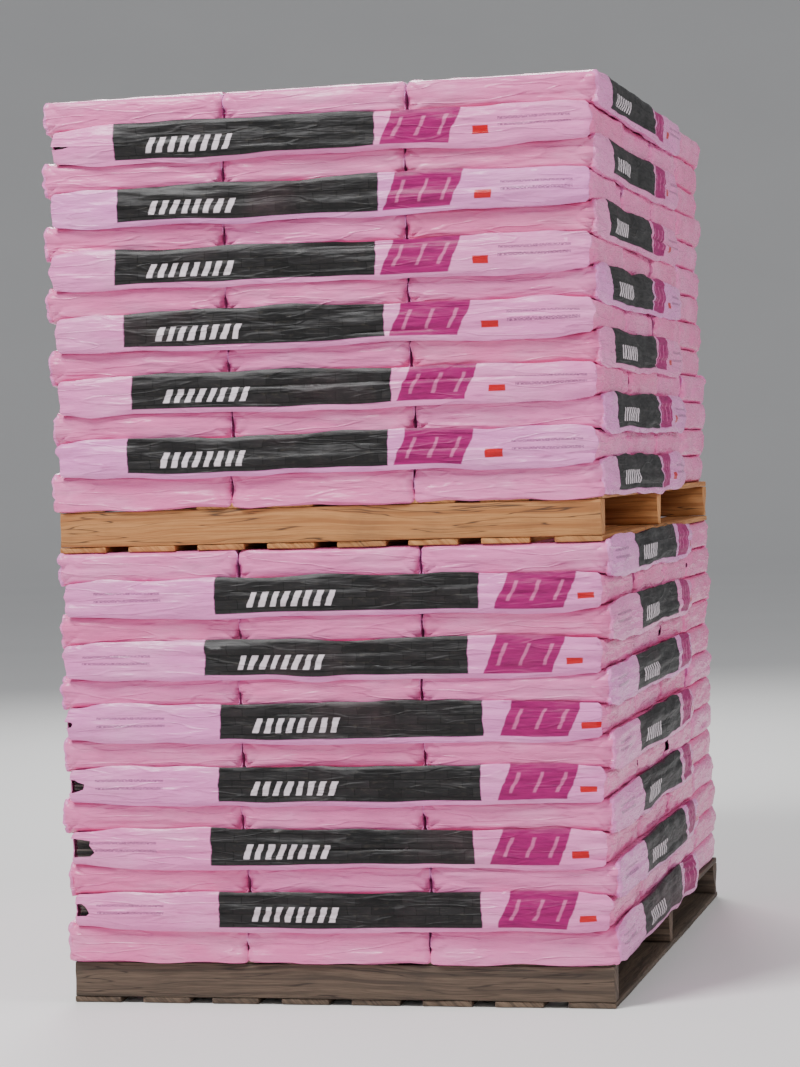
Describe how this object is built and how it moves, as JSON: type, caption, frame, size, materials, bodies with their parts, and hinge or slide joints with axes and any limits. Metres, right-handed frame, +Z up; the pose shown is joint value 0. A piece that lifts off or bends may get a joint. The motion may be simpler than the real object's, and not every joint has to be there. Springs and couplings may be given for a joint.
{
  "type": "palletised asphalt shingle bundles",
  "caption": "Film-wrapped asphalt shingle bundles laid crosswise in layers on wooden pallets, one loaded pallet standing on another",
  "frame": {"origin": "on the floor under the middle of the stack", "axes": "+Z up, X along the printed front, -Y is the front"},
  "size_m": [1.0309, 1.363, 1.6618],
  "materials": {
    "film": "thin pale pink film, glossy, with fine folds and a dark printed band",
    "shingles": "charcoal mineral granules on asphalt",
    "upper_pallet_wood": "rough sawn softwood, fairly fresh",
    "lower_pallet_wood": "rough sawn softwood, weathered and damp"
  },
  "bodies": {
    "root": {"lower_pallet_bottom_boards": "lower_pallet_wood", "lower_pallet_stringers": "lower_pallet_wood", "lower_pallet_top_boards": "lower_pallet_wood", "lower_film_wraps_01": "film", "lower_film_wraps_02": "film", "lower_film_wraps_03": "film", "lower_film_wraps_04": "film", "lower_film_wraps_05": "film", "lower_film_wraps_06": "film", "lower_film_wraps_07": "film", "lower_film_wraps_08": "film", "lower_film_wraps_09": "film", "lower_film_wraps_10": "film", "lower_film_wraps_11": "film", "lower_film_wraps_12": "film", "lower_film_wraps_13": "film", "lower_shingle_packs_01": "shingles", "lower_shingle_packs_02": "shingles", "lower_shingle_packs_03": "shingles", "lower_shingle_packs_04": "shingles", "lower_shingle_packs_05": "shingles", "lower_shingle_packs_06": "shingles", "lower_shingle_packs_07": "shingles", "lower_shingle_packs_08": "shingles", "lower_shingle_packs_09": "shingles", "lower_shingle_packs_10": "shingles", "lower_shingle_packs_11": "shingles", "lower_shingle_packs_12": "shingles", "lower_shingle_packs_13": "shingles", "upper_pallet_bottom_boards": "upper_pallet_wood", "upper_pallet_stringers": "upper_pallet_wood", "upper_pallet_top_boards": "upper_pallet_wood", "upper_film_wraps_01": "film", "upper_film_wraps_02": "film", "upper_film_wraps_03": "film", "upper_film_wraps_04": "film", "upper_film_wraps_05": "film", "upper_film_wraps_06": "film", "upper_film_wraps_07": "film", "upper_film_wraps_08": "film", "upper_film_wraps_09": "film", "upper_film_wraps_10": "film", "upper_film_wraps_11": "film", "upper_film_wraps_12": "film", "upper_film_wraps_13": "film", "upper_shingle_packs_01": "shingles", "upper_shingle_packs_02": "shingles", "upper_shingle_packs_03": "shingles", "upper_shingle_packs_04": "shingles", "upper_shingle_packs_05": "shingles", "upper_shingle_packs_06": "shingles", "upper_shingle_packs_07": "shingles", "upper_shingle_packs_08": "shingles", "upper_shingle_packs_09": "shingles", "upper_shingle_packs_10": "shingles", "upper_shingle_packs_11": "shingles", "upper_shingle_packs_12": "shingles", "upper_shingle_packs_13": "shingles"}
  },
  "joints": []
}
